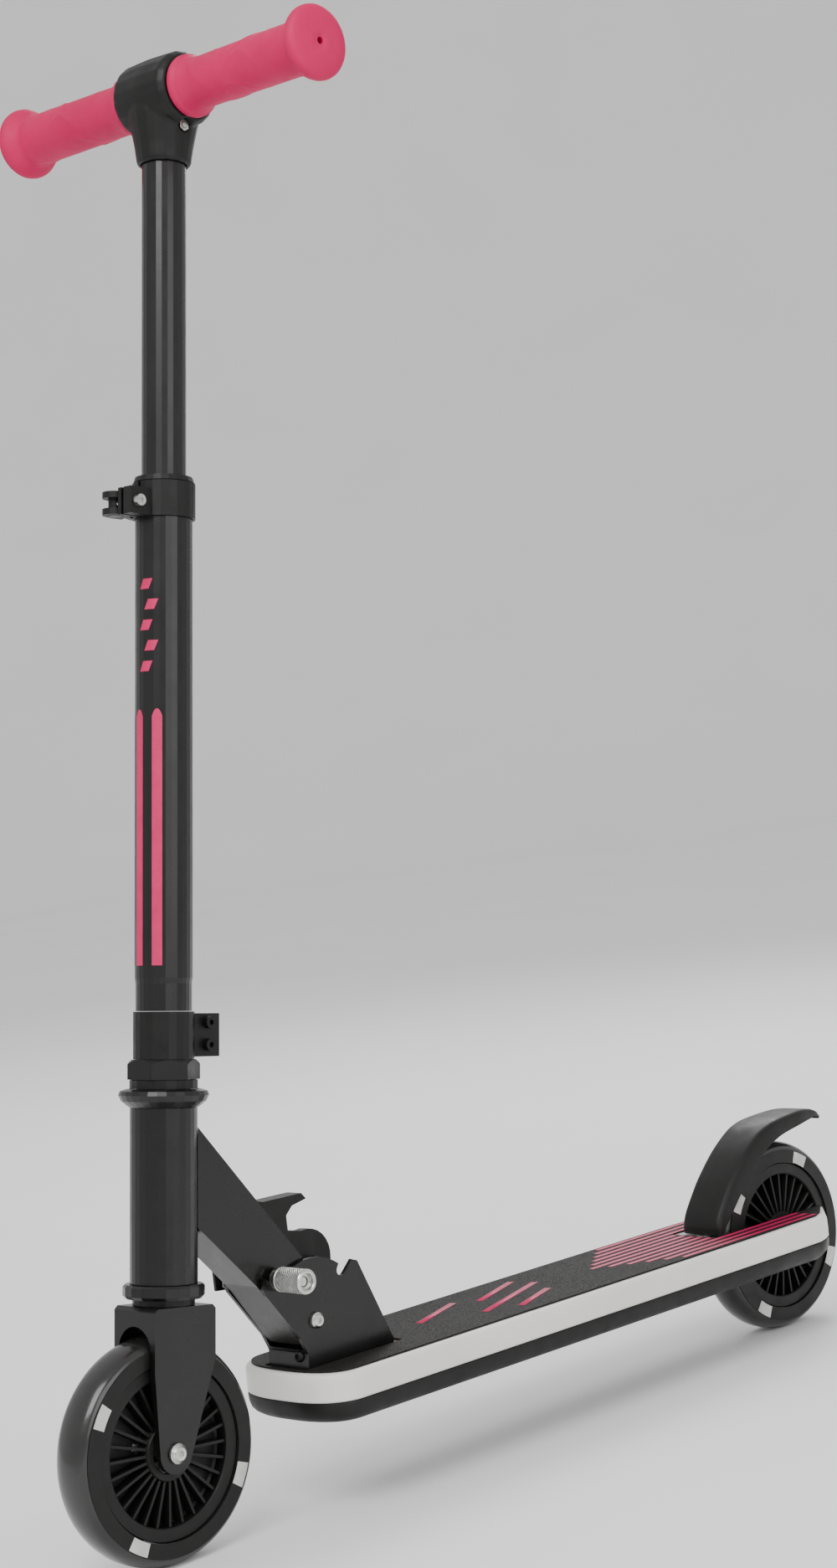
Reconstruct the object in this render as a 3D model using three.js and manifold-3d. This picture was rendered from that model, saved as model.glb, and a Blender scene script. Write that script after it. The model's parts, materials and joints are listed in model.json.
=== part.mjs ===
// A child's folding kick scooter, in millimetres: +X forward, +Y to the rider's left, +Z up.
// The origin is on the ground, midway between the two axles.
import * as THREE from "three";
import { mergeVertices } from "three/addons/utils/BufferGeometryUtils.js";
import Module from "manifold-3d";

const wasm = await Module();
wasm.setup();

// ---- driving dimensions ----
const WHEELBASE = 518;
const WHEEL_RADIUS = 60;
const WHEEL_WIDTH = 24;
const GAP = 0.3;

// steering column: heights are measured up the steering axis from the foot beside the front axle
const RAKE = THREE.MathUtils.degToRad(8.957);
const AXLE_OFFSET = 5.15;
const CROWN_TOP = 74.7;
const HEAD_TUBE_BOTTOM = 86.1;
const HEAD_TUBE_TOP = 177.7;
const CUP_TOP = 187.9;
const CONE_TOP = 192.3;
const STEM_CLAMP_BOTTOM = 203.3;
const STEM_CLAMP_TOP = 228.2;
const LOWER_TUBE_TOP = 510.3;
const HEIGHT_CLAMP_BOTTOM = 491;
const UPPER_TUBE_BOTTOM = 415;
const TEE_BOTTOM = 684;
const BAR_HEIGHT = 723;
const STEERER_RADIUS = 14;
const HEAD_TUBE_RADIUS = 17.9;
const LOWER_TUBE_RADIUS = 15.4;
const UPPER_TUBE_RADIUS = 12;
const BAR_RADIUS = 9.5;
const GRIP_OUTER_END = 125.8;

// deck: heights are measured from the rear axle, square to the deck
const DECK_PITCH = 0.014;
const DECK_FRONT = 430.5;
const DECK_HALF_WIDTH = 42.7;
const DECK_BOTTOM = -14.85;
const BAND_BOTTOM = -3;
const DECK_TOP = 12.6;
const SLOT_FRONT = 70.3;
const SLOT_HALF_WIDTH = 16.3;
const BAND_THICKNESS = 5;

// fold: the pivot, and the lock rod that runs in two notches around it
const PIVOT_X = 152.4;
const PIVOT_Z = 104.2;
const BRACKET_HALF_WIDTH = 16.3;
const BRACKET_SHEET = 2.4;
const FRAME_HALF_WIDTH = 13.5;
const ARC_RADIUS = 34;
const ROD_RADIUS = 2.5;
const ROD_REACH = 36.9;
const ROD_ANGLE = THREE.MathUtils.degToRad(49.8);
const FOLD_ANGLE = THREE.MathUtils.degToRad(85);
const ROD_TRAVEL = 5;

// rear brake
const FENDER_HALF_WIDTH = 15.6;
const FENDER_SHEET = 2.4;
const FENDER_PIN_X = 66.4;
const FENDER_PIN_Z = 9;

// ---- materials ----
function finish(color, roughness, metalness) {
  return new THREE.MeshStandardMaterial({ color, roughness, metalness });
}
const blackPaint = finish(0x101010, 0.35, 0.3);
const blackPlastic = finish(0x1a1a18, 0.6, 0);
const blackSteel = finish(0x151515, 0.45, 0.6);
const bareSteel = finish(0xb9b9b4, 0.3, 0.9);
const pinkRubber = finish(0xd1175f, 0.75, 0);
const milkyPlastic = finish(0xd8d6d0, 0.35, 0);
const gripTape = finish(0x2b2320, 0.95, 0);
const smokyTyre = finish(0x4a4744, 0.3, 0);
const deckWood = finish(0x3a332c, 0.8, 0);

// ---- solids ----
function solid(geometry) {
  geometry.deleteAttribute("normal");
  geometry.deleteAttribute("uv");
  const merged = mergeVertices(geometry, 1e-4);
  const mesh = new wasm.Mesh({
    numProp: 3,
    vertProperties: new Float32Array(merged.attributes.position.array),
    triVerts: new Uint32Array(merged.index.array),
  });
  return new wasm.Manifold(mesh);
}

function union(first, ...others) {
  return others.reduce((sum, next) => sum.add(next), first);
}

function cut(body, ...tools) {
  return tools.reduce((rest, tool) => rest.subtract(tool), body);
}

function box(x0, x1, y0, y1, z0, z1) {
  const geometry = new THREE.BoxGeometry(x1 - x0, y1 - y0, z1 - z0);
  return solid(geometry.translate((x0 + x1) / 2, (y0 + y1) / 2, (z0 + z1) / 2));
}

// a round bar along Y, centred on x, z
function rodY(radius, y0, y1, x = 0, z = 0, sides = 12) {
  const geometry = new THREE.CylinderGeometry(radius, radius, y1 - y0, sides);
  return solid(geometry.translate(x, (y0 + y1) / 2, z));
}

// a round bar along Z, centred on x, y
function rodZ(radius, z0, z1, x = 0, y = 0, sides = 20) {
  const geometry = new THREE.CylinderGeometry(radius, radius, z1 - z0, sides).rotateX(Math.PI / 2);
  return solid(geometry.translate(x, y, (z0 + z1) / 2));
}

// a body turned about Z from a closed profile of [radius, height] points
function turnedZ(profile, sides = 20) {
  const points = [...profile, profile[0]].map(([r, h]) => new THREE.Vector2(r, h));
  return solid(new THREE.LatheGeometry(points, sides).rotateX(Math.PI / 2));
}

// a body turned about Y from a closed profile of [radius, y] points
function turnedY(profile, sides = 20) {
  const points = [...profile, profile[0]].map(([r, h]) => new THREE.Vector2(r, h));
  return solid(new THREE.LatheGeometry(points, sides));
}

// an outline of [x, y] points or a Shape, extruded from z0 to z1
function slab(outline, z0, z1) {
  const shape = outline instanceof THREE.Shape ? outline
    : new THREE.Shape(outline.map(([x, y]) => new THREE.Vector2(x, y)));
  const options = { depth: z1 - z0, bevelEnabled: false, curveSegments: 16 };
  return solid(new THREE.ExtrudeGeometry(shape, options).translate(0, 0, z0));
}

// an outline of [x, z] points, extruded across from y0 to y1
function plate(outline, y0, y1) {
  const shape = new THREE.Shape(outline.map(([x, z]) => new THREE.Vector2(x, z)));
  const geometry = new THREE.ExtrudeGeometry(shape, { depth: y1 - y0, bevelEnabled: false });
  return solid(geometry.rotateX(Math.PI / 2).translate(0, y1, 0));
}

function washerY(outer, inner, y0, y1, x = 0, z = 0, sides = 12) {
  return cut(rodY(outer, y0, y1, x, z, sides), rodY(inner, y0 - 1, y1 + 1, x, z, sides));
}

// points on an arc about x, z, from one angle to another in radians
function arc(x, z, radius, from, to, steps) {
  const points = [];
  for (let i = 0; i <= steps; i += 1) {
    const angle = from + (to - from) * i / steps;
    points.push([x + radius * Math.cos(angle), z + radius * Math.sin(angle)]);
  }
  return points;
}

const scooter = new THREE.Group();

function add(group, name, body, material) {
  const { vertProperties, triVerts } = body.getMesh();
  const geometry = new THREE.BufferGeometry();
  geometry.setAttribute("position", new THREE.BufferAttribute(new Float32Array(vertProperties), 3));
  geometry.setIndex(new THREE.BufferAttribute(new Uint32Array(triVerts), 1));
  geometry.computeVertexNormals();
  const mesh = new THREE.Mesh(geometry, material);
  mesh.name = name;
  group.add(mesh);
}

// ---- wheels ----
const CORE_RADIUS = 46;
const SPOKES = 8;

function addWheel(group, name) {
  const half = WHEEL_WIDTH / 2;
  const tyre = turnedY([
    [CORE_RADIUS + GAP, -half], [WHEEL_RADIUS - 6, -half], [WHEEL_RADIUS - 2, -half + 3.5],
    [WHEEL_RADIUS, -3.5], [WHEEL_RADIUS, 3.5], [WHEEL_RADIUS - 2, half - 3.5],
    [WHEEL_RADIUS - 6, half], [CORE_RADIUS + GAP, half],
  ], 32);
  let core = turnedY([
    [11.3, -half + 0.5], [15, -half + 0.5], [15, -3], [38, -3], [38, -half + 1],
    [CORE_RADIUS, -half + 1], [CORE_RADIUS, half - 1], [38, half - 1], [38, 3], [15, 3],
    [15, half - 0.5], [11.3, half - 0.5],
  ], 32);
  for (let i = 0; i < SPOKES; i += 1) {
    const window = plate([[18, -2], [36, -4.5], [36, 4.5], [18, 2]], -half, half);
    core = cut(core, window.rotate([0, i * 360 / SPOKES, 0]));
  }
  add(group, name + "_tyre", tyre, smokyTyre);
  add(group, name + "_core", core, blackPlastic);
  add(group, name + "_bearing_left", washerY(11, 4.1, 4.2, 11.2), bareSteel);
  add(group, name + "_bearing_right", washerY(11, 4.1, -11.2, -4.2), bareSteel);
  add(group, name + "_bearing_spacer", washerY(5.5, 4.1, -3.9, 3.9), bareSteel);
}

// ---- steering column, built upright about its own axis ----
const column = new THREE.Group();
column.position.set(
  WHEELBASE / 2 - AXLE_OFFSET * Math.cos(RAKE), 0, WHEEL_RADIUS - AXLE_OFFSET * Math.sin(RAKE));
column.rotation.y = -RAKE;
scooter.add(column);

const frontWheel = new THREE.Group();
frontWheel.position.x = AXLE_OFFSET;
column.add(frontWheel);
addWheel(frontWheel, "front_wheel");

const LEG_INNER = 13.4;
const LEG_OUTER = 16.8;
const CROWN_FRONT = 19.6;
const CROWN_REAR = -21.5;

function fork() {
  const side = [
    [CROWN_REAR, 47], ...arc(AXLE_OFFSET, 0, 10.8, Math.PI * 1.06, Math.PI * 1.94, 12),
    [CROWN_FRONT, 42], [CROWN_FRONT, CROWN_TOP - 2], [CROWN_FRONT - 2, CROWN_TOP],
    [CROWN_REAR + 2, CROWN_TOP], [CROWN_REAR, CROWN_TOP - 2],
  ];
  const inside = box(CROWN_REAR + 3, CROWN_FRONT - 3, -LEG_INNER, LEG_INNER, -20, CROWN_TOP - 3.5);
  const wheelWell = box(-80, 80, -LEG_INNER, LEG_INNER, -20, 52);
  const archCut = new THREE.CylinderGeometry(LEG_INNER, LEG_INNER, 160, 28).rotateZ(Math.PI / 2);
  const arch = solid(archCut.translate(0, 0, 51.5));
  const steerer = cut(rodZ(STEERER_RADIUS, CROWN_TOP - 2, STEM_CLAMP_TOP - 1), rodZ(12.4, 60, 300));
  const crown = cut(plate(side, -LEG_OUTER, LEG_OUTER), inside, wheelWell, arch);
  const axleHole = rodY(4.2, -30, 30, AXLE_OFFSET, 0);
  return cut(union(crown, steerer), rodZ(12.4, 60, 300), axleHole);
}
add(column, "fork", fork(), blackPaint);

add(frontWheel, "front_spacer_left", washerY(6, 4.2, 11.6, 13.1), bareSteel);
add(frontWheel, "front_spacer_right", washerY(6, 4.2, -13.1, -11.6), bareSteel);
const frontBolt = union(
  rodY(3.9, -21, 18),
  turnedY([[0, 17.1], [5.4, 17.1], [5.4, 18.6], [3.4, 20.6], [0, 20.6]]));
add(frontWheel, "front_axle_bolt", cut(frontBolt, rodY(2, 18.8, 22, 0, 0, 6)), bareSteel);
add(frontWheel, "front_axle_nut", cut(rodY(7, -23, -17.1, 0, 0, 6), rodY(4.2, -30, -16)), bareSteel);

add(column, "crown_race", cut(rodZ(16.5, CROWN_TOP + GAP, 78.1), rodZ(14.3, 70, 80)), blackSteel);
add(column, "lower_cup", turnedZ([
  [14.5, 83.8], [18.7, 83.8], [18.7, 78.4], [20.2, 78.4],
  [21.7, 80], [21.7, 84.6], [20.6, 85.8], [14.5, 85.8],
]), blackPaint);
add(column, "lower_bearing", cut(rodZ(18.4, 78.8, 83.5), rodZ(14.3, 70, 90)), bareSteel);
add(column, "head_tube", cut(
  rodZ(HEAD_TUBE_RADIUS, HEAD_TUBE_BOTTOM, HEAD_TUBE_TOP, 0, 0, 30), rodZ(15, 80, 190)), blackPaint);
add(column, "upper_cup", turnedZ([
  [14.5, HEAD_TUBE_TOP + GAP], [18.5, HEAD_TUBE_TOP + GAP], [22.6, 181.3], [24.1, 184.4],
  [23.2, 186.6], [20, CUP_TOP - GAP], [18.7, CUP_TOP - GAP], [18.7, 181.6], [14.5, 181.6],
], 30), blackPaint);
add(column, "upper_bearing", cut(rodZ(18.4, 181.9, 187.3), rodZ(14.3, 170, 190)), bareSteel);
add(column, "bearing_cone", cut(rodZ(18.1, CUP_TOP, CONE_TOP), rodZ(14.3, 170, 200)), blackSteel);
const hexNut = rodZ(19.6, CONE_TOP + GAP, STEM_CLAMP_BOTTOM - GAP, 0, 0, 6);
const nutChamfer = turnedZ([[0, 192], [19.6, 192], [19.6, 200.6], [16.8, 203.2], [0, 203.2]]);
add(column, "lock_nut", cut(hexNut.intersect(nutChamfer), rodZ(14.3, 180, 210)), blackSteel);

const STEM_BOLT_X = -22;
const STEM_BOLT_HEIGHTS = [210.5, 222.4];
let stemClamp = union(
  rodZ(16.3, STEM_CLAMP_BOTTOM, STEM_CLAMP_TOP, 0, 0, 24),
  box(-30.4, -12, -9.5, 9.5, STEM_CLAMP_BOTTOM + 1, STEM_CLAMP_TOP - 1));
stemClamp = cut(stemClamp, rodZ(14.3, 200, 230), box(-35, -13, -1, 1, 200, 230));
for (const height of STEM_BOLT_HEIGHTS) {
  stemClamp = cut(stemClamp, rodY(2.3, -20, 20, STEM_BOLT_X, height));
}
add(column, "stem_clamp", stemClamp, blackSteel);
STEM_BOLT_HEIGHTS.forEach((height, i) => {
  const bolt = union(rodY(2, -9, 10, STEM_BOLT_X, height), rodY(3.3, 9.8, 13.1, STEM_BOLT_X, height));
  add(column, "stem_bolt_" + (i + 1), cut(bolt, rodY(1.6, 11, 14, STEM_BOLT_X, height, 6)), blackSteel);
});

add(column, "lower_tube", turnedZ([
  [14.1, STEM_CLAMP_TOP + GAP], [14.95, STEM_CLAMP_TOP + GAP], [14.95, 243], [LOWER_TUBE_RADIUS, 246],
  [LOWER_TUBE_RADIUS, LOWER_TUBE_TOP], [14.1, LOWER_TUBE_TOP],
], 30), blackPaint);
add(column, "tube_bush", turnedZ([
  [12.3, 484], [13.8, 484], [13.8, LOWER_TUBE_TOP + GAP], [16.4, LOWER_TUBE_TOP + GAP],
  [15.6, 513.4], [12.3, 513.4],
], 24), blackPlastic);

// ---- height clamp: a split collar, a cross bolt and a cam lever that wraps the far side ----
const CLAMP_X = 24.3;
const CLAMP_HEIGHT = 497.8;
const CAM_Y = -11;
const clampTop = LOWER_TUBE_TOP - 0.2;
const collar = union(
  rodZ(17, HEIGHT_CLAMP_BOTTOM, clampTop, 0, 0, 24),
  box(10, 28.4, -3.6, 7.5, HEIGHT_CLAMP_BOTTOM, 505.5));
add(column, "height_clamp", cut(
  collar, rodZ(LOWER_TUBE_RADIUS + GAP, 480, 520, 0, 0, 30), box(12, 40, -1, 1, 480, 520),
  rodY(2.3, -20, 20, CLAMP_X, CLAMP_HEIGHT)), blackPlastic);
const clampBolt = union(rodY(2, -13, 8, CLAMP_X, CLAMP_HEIGHT), rodY(3.2, 7.8, 11, CLAMP_X, CLAMP_HEIGHT));
add(column, "height_bolt", cut(clampBolt, rodY(1.7, 9.2, 12, CLAMP_X, CLAMP_HEIGHT, 6)), bareSteel);
add(column, "cam_barrel", cut(
  rodZ(3.8, 491.6, 504, CLAMP_X, CAM_Y, 20), rodY(2.3, -20, 20, CLAMP_X, CLAMP_HEIGHT)), blackSteel);

function heightLever() {
  const start = THREE.MathUtils.degToRad(-34);
  const end = THREE.MathUtils.degToRad(-158);
  const ring = [...arc(0, 0, 21.6, start, end, 16), ...arc(0, 0, 18.4, end, start, 16)];
  const cheek = union(
    rodZ(7, 491.8, 504.2, CLAMP_X, CAM_Y, 28),
    slab([[14, -18.6], [17, -9.5], [26, -17.8], [20, -19]], 491.8, 504.2));
  const hollow = union(rodZ(7.6, 495.2, 500.8, CLAMP_X, CAM_Y), box(18, 40, -25, 3, 495.2, 500.8));
  return cut(union(slab(ring, 492.6, 503.4), cheek), hollow, rodZ(4.1, 480, 510, CLAMP_X, CAM_Y, 24),
    rodZ(17.6, 480, 510));
}
add(column, "height_lever", heightLever(), blackPlastic);

// ---- handlebar ----
add(column, "upper_tube", cut(
  rodZ(UPPER_TUBE_RADIUS, UPPER_TUBE_BOTTOM, 712, 0, 0, 24), rodZ(10.8, 400, 720, 0, 0, 20),
  rodY(1.9, -20, 20, 0, 703.2)), blackPaint);
const teeProfile = [[0, -21.5], [18, -21.5], [20.4, -18], [21, 0], [20.4, 18], [18, 21.5], [0, 21.5]];
const teeBarrel = turnedY(teeProfile, 20)
  .translate([0, 0, BAR_HEIGHT]);
const teeNeck = turnedZ([[0, TEE_BOTTOM], [13.8, TEE_BOTTOM], [14.8, TEE_BOTTOM + 1.5], [16, 694],
  [19.4, 711], [19.4, BAR_HEIGHT], [0, BAR_HEIGHT]], 20);
add(column, "tee_head", cut(
  union(teeBarrel, teeNeck), rodZ(UPPER_TUBE_RADIUS + GAP, 680, 712.6, 0, 0, 24),
  rodY(BAR_RADIUS + GAP, -30, 30, 0, BAR_HEIGHT, 16), rodY(1.9, -30, 30, 0, 703.2),
  rodY(3.7, 15, 30, 0, 703.2), rodY(3.7, -30, -15, 0, 703.2)), blackPlastic);
add(column, "tee_bolt", union(rodY(1.6, -16, 17.4, 0, 703.2), rodY(3.2, -17.6, -15.3, 0, 703.2)), bareSteel);
add(column, "tee_nut", cut(rodY(3.3, 15.3, 17.2, 0, 703.2, 6), rodY(1.9, 10, 20, 0, 703.2)), bareSteel);
add(column, "crossbar", cut(
  rodY(BAR_RADIUS, -118, 118, 0, BAR_HEIGHT, 16), rodY(8, -120, 120, 0, BAR_HEIGHT, 16)), bareSteel);

const gripProfile = [
  [BAR_RADIUS + GAP, 22], [16.6, 22], [17, 23], [16.6, 26], [14.2, 30], [13.6, 36], [13.7, 90],
  [14.2, 116], [17, 117], [19.4, 119], [19.8, 121.8], [18.6, 124.4], [14, GRIP_OUTER_END],
  [1.9, GRIP_OUTER_END], [1.9, 119], [BAR_RADIUS + GAP, 119],
];
for (const [name, turn] of [["grip_left", 0], ["grip_right", 180]]) {
  const grip = turnedY(gripProfile, 18).rotate([0, 0, turn]);
  add(column, name, grip.translate([0, 0, BAR_HEIGHT]), pinkRubber);
}

// ---- folding frame, in the scooter's own axes ----
const footX = column.position.x;
const footZ = column.position.z;

function inScooter(body) {
  return body.rotate([0, -THREE.MathUtils.radToDeg(RAKE), 0]).translate([footX, 0, footZ]);
}
const rodX = PIVOT_X + ROD_REACH * Math.cos(ROD_ANGLE);
const rodZHeight = PIVOT_Z + ROD_REACH * Math.sin(ROD_ANGLE);

// a slot along the line from the pivot, from one reach to another
function radialSlot(angle, from, to, halfWidth) {
  const along = [Math.cos(angle), Math.sin(angle)];
  const near = [PIVOT_X + along[0] * from, PIVOT_Z + along[1] * from];
  const far = [PIVOT_X + along[0] * to, PIVOT_Z + along[1] * to];
  return [
    ...arc(far[0], far[1], halfWidth, angle - Math.PI / 2, angle + Math.PI / 2, 8),
    ...arc(near[0], near[1], halfWidth, angle + Math.PI / 2, angle + Math.PI * 1.5, 8),
  ];
}

function downTube() {
  const outline = [
    [226, 238], [214.5, 220.7], [154.3, 139.1], ...arc(PIVOT_X, PIVOT_Z, 15, 2.6, 5.4, 12),
    [188.5, 130.6], [221, 167.2], [240, 188],
  ];
  const inner = [
    [224, 230], [216, 216.5], [155, 134], [150, 104],
    [156, 101], [187.5, 133.5], [220, 171], [236, 189],
  ];
  const half = FRAME_HALF_WIDTH;
  const headClear = inScooter(rodZ(HEAD_TUBE_RADIUS + GAP, 80, 190, 0, 0, 30));
  const slotOutline = radialSlot(ROD_ANGLE, ROD_REACH - ROD_TRAVEL - 0.5, ROD_REACH + 1, ROD_RADIUS + GAP);
  const slot = plate(slotOutline, -20, 20);
  return cut(plate(outline, -half, half), plate(inner, -half + 2.2, half - 2.2), slot,
    rodY(6.3, -20, 20, PIVOT_X, PIVOT_Z), headClear, inScooter(rodZ(30, 80, 300, 30, 0)));
}
add(scooter, "down_tube", downTube(), blackPaint);
add(scooter, "pivot_bush", washerY(6, 4.2, -13.5, 13.5, PIVOT_X, PIVOT_Z), bareSteel);

for (const [name, y0, y1] of [["slide_washer_left", 16.7, 18.2], ["slide_washer_right", -18.2, -16.7]]) {
  add(scooter, name, washerY(6.3, ROD_RADIUS + GAP, y0, y1, rodX, rodZHeight), bareSteel);
}
const eye = rodZ(4.2, rodZHeight - 6.5, rodZHeight + 6.5, rodX, -24);
add(scooter, "lock_rod", union(eye, rodY(ROD_RADIUS, -21, 37, rodX, rodZHeight)), bareSteel);
add(scooter, "knurled_nut", cut(
  rodY(6.8, 20, 40.5, rodX, rodZHeight, 20), rodY(ROD_RADIUS + GAP, 10, 38, rodX, rodZHeight),
  rodY(4.4, 37.4, 42, rodX, rodZHeight)), bareSteel);

// the fold lever: two cheeks around the rod's eye, an arm, a round lobe and a thumb pad
function foldLever() {
  const arm = plate([
    [rodX + 6, 124], [150, 120.5], [118, 113.5],
    ...arc(121, 129, 16.5, Math.PI + 1.7, Math.PI - 1.75, 14),
    [134, 147.5], [134, 156], [129, 160.5], [118, 162.3], [121, 166], [149.5, 167], [151, 163.5], [149, 151],
    [160, 143], [rodX + 6, 141],
  ], -30.4, -17.8);
  const armRoom = box(80, 165, -18.9, -10, 80, 190);
  const eyeRoom = cut(box(rodX - 8.5, rodX + 20, -28.5, -10, 100, 160));
  const thin = box(60, rodX - 10, -40, -25.5, 100, 161.8);
  return cut(arm, armRoom, eyeRoom, thin);
}
add(scooter, "fold_lever", foldLever(), blackPlastic);

// ---- deck, built level from the rear axle and then pitched ----
const deck = new THREE.Group();
deck.position.set(-WHEELBASE / 2, 0, WHEEL_RADIUS);
deck.rotation.y = -DECK_PITCH;
scooter.add(deck);

// the outline of the deck, inset from its edge: a round nose, straight sides, two arms and the wheel slot
function deckOutline(inset) {
  const half = DECK_HALF_WIDTH - inset;
  const front = DECK_FRONT - 26;
  const slot = SLOT_HALF_WIDTH + inset;
  const side = [];
  for (let i = 0; i <= 12; i += 1) {
    const angle = Math.PI / 2 * i / 12;
    side.push([front + (26 - inset) * Math.cos(angle) ** 0.8, half * Math.sin(angle) ** 0.8]);
  }
  side.push([60, half], [-4 + inset * 0.5, half - 1.5], [-16 + inset, half - 6]);
  side.push([-35 + inset * 2, slot + 2], [-35 + inset * 2, slot], [SLOT_FRONT + inset, slot]);
  const mirrored = side.slice(1).reverse().map(([x, y]) => [x, -y]);
  return [...side, ...mirrored];
}
const axleHole = rodY(4.2, -34, 34);
add(deck, "side_band", cut(
  slab(deckOutline(0), BAND_BOTTOM, DECK_TOP), slab(deckOutline(BAND_THICKNESS), -20, 20),
  axleHole, rodY(1.9, -30, 30, FENDER_PIN_X, FENDER_PIN_Z)), milkyPlastic);
const axleRecesses = union(rodY(7.2, 28, 33), rodY(7.2, -33, -28));
add(deck, "deck_base", cut(
  slab(deckOutline(0), DECK_BOTTOM, BAND_BOTTOM - GAP), axleHole, axleRecesses), blackPlastic);
add(deck, "deck_core", cut(
  slab(deckOutline(BAND_THICKNESS + GAP), BAND_BOTTOM, DECK_TOP), axleHole, axleRecesses,
  rodY(1.9, -30, 30, FENDER_PIN_X, FENDER_PIN_Z)), deckWood);
const bracketFoot = box(350, 424, -BRACKET_HALF_WIDTH - 1, BRACKET_HALF_WIDTH + 1, 0, 40);
add(deck, "grip_tape", cut(slab(deckOutline(3.5), DECK_TOP + GAP, DECK_TOP + 1.2), bracketFoot), gripTape);

// fold bracket: two notched cheeks, a floor and a low front wall
const pivotX = 412;
const pivotZ = 38.4;
const toDeck = (points) => points.map(([dx, dz]) => [pivotX + dx, pivotZ + dz]);

function notch(angle) {
  const along = [Math.cos(angle), Math.sin(angle)];
  const side = [-along[1], along[0]];
  const inner = ROD_REACH - ROD_TRAVEL;
  const half = ROD_RADIUS + 0.6;
  const mouth = 48;
  return [
    [along[0] * mouth - side[0] * 6, along[1] * mouth - side[1] * 6],
    [along[0] * mouth + side[0] * (half + 1), along[1] * mouth + side[1] * (half + 1)],
    ...arc(along[0] * inner, along[1] * inner, half, angle + Math.PI / 2, angle + Math.PI * 1.5, 8),
  ];
}

function foldBracket() {
  const low = DECK_TOP + GAP - pivotZ;
  const notchAngle = ROD_ANGLE - DECK_PITCH;
  const outline = [
    [8.8, low], [7.8, -17], [12.1, -7.7], [33.4, 20.4], [35, 24.1], [34, 29.5], [30.5, 31.5], [25, 36],
    [-22, 36], [-28, 28.5], [-32, 26.6], [-34.9, 25.6], [-56, -22.5], [-56, low],
  ];
  const outer = BRACKET_HALF_WIDTH;
  const inner = outer - BRACKET_SHEET;
  const arcEnds = [notchAngle + 0.03, notchAngle + FOLD_ANGLE - 0.03];
  const rim = [
    ...arc(0, 0, ARC_RADIUS, arcEnds[0], arcEnds[1], 24),
    ...arc(0, 0, 60, arcEnds[1], arcEnds[0], 8),
  ];
  const between = cut(box(300, 500, -inner, inner, 0, 120), box(300, 500, -20, 20, 0, DECK_TOP + 2.7),
    box(pivotX + 7, 440, -20, 20, 0, DECK_TOP + 11));
  return cut(plate(toDeck(outline), -outer, outer), between, plate(toDeck(rim), -20, 20),
    plate(toDeck(notch(notchAngle)), -20, 20), plate(toDeck(notch(notchAngle + FOLD_ANGLE)), -20, 20),
    rodY(4.2, -20, 20, pivotX, pivotZ));
}
add(deck, "fold_bracket", foldBracket(), blackPaint);
const pivotHead = turnedY([[0, 16.6], [4.6, 16.6], [4.4, 18], [3, 19.3], [0, 19.6]])
  .translate([pivotX, 0, pivotZ]);
add(deck, "pivot_bolt", cut(
  union(rodY(3.9, -21, 17, pivotX, pivotZ), pivotHead), rodY(1.8, 18.2, 22, pivotX, pivotZ, 6)), bareSteel);
add(deck, "pivot_nut", cut(
  rodY(6.6, -20.6, -16.6, pivotX, pivotZ, 6), rodY(4.2, -30, -10, pivotX, pivotZ)), bareSteel);

// rear axle and fender hinge
add(deck, "rear_axle_bolt", union(rodY(3.9, -32, 29), rodY(6.4, 28.4, 32)), bareSteel);
add(deck, "rear_axle_nut", cut(rodY(6.8, -32.4, -28.3, 0, 0, 6), rodY(4.2, -40, -20)), bareSteel);
add(deck, "rear_spacer_left", washerY(6, 4.2, 11.6, 16), bareSteel);
add(deck, "rear_spacer_right", washerY(6, 4.2, -16, -11.6), bareSteel);
const rearWheel = new THREE.Group();
deck.add(rearWheel);
addWheel(rearWheel, "rear_wheel");
add(deck, "fender_pin", rodY(1.6, -20.5, 20.5, FENDER_PIN_X, FENDER_PIN_Z, 16), bareSteel);
add(deck, "fender_spring", washerY(3, 1.9, -5, 5, FENDER_PIN_X, FENDER_PIN_Z, 16), bareSteel);

function fender() {
  const outer = [
    [67.6, 6], [67.4, 19], [64, 26], [48.8, 45], [33, 59.5], [17, 70], [6, 73.8], [-6, 75.4],
    [-27, 76.4], [-38, 75.4], [-50, 72.6], [-57, 68.6],
  ];
  const lower = [[-54.5, 66.8], [-48, 69.6], [-37, 72.2], [-27, 73.6], [-6, 72.6], [8, 70], [19, 65.8],
    [33.5, 55], [47, 42.4], [60.6, 25], [64.4, 18], [64.4, 6]];
  const skirt = [
    ...outer.slice(0, 10),
    [-30, 71], [-12, 67.2], [8, 61.6], [26, 49], [44, 34.5], [56, 18], [60, 6],
  ];
  const half = FENDER_HALF_WIDTH;
  const hollow = box(-80, 90, -half + FENDER_SHEET, half - FENDER_SHEET, 0, 90);
  const sides = cut(plate(skirt, -half, half), hollow);
  const barrel = rodY(3.1, -half, half, FENDER_PIN_X, FENDER_PIN_Z);
  const springRoom = box(60, 80, -5.4, 5.4, 0, 12.4);
  const tidy = box(40, 80, -20, 20, -5, 6.5);
  return cut(union(plate([...outer, ...lower], -half, half), sides, barrel), springRoom, tidy,
    rodY(1.9, -20, 20, FENDER_PIN_X, FENDER_PIN_Z), rodY(WHEEL_RADIUS + 1, -13.2, 13.2, 0, 0, 36));
}
add(deck, "rear_fender", fender(), blackPlastic);

export default scooter;
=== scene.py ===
"""A child's kick scooter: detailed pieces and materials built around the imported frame. Metres."""
import json
import math

import bpy
import bmesh
from mathutils import Matrix, Vector


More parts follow.
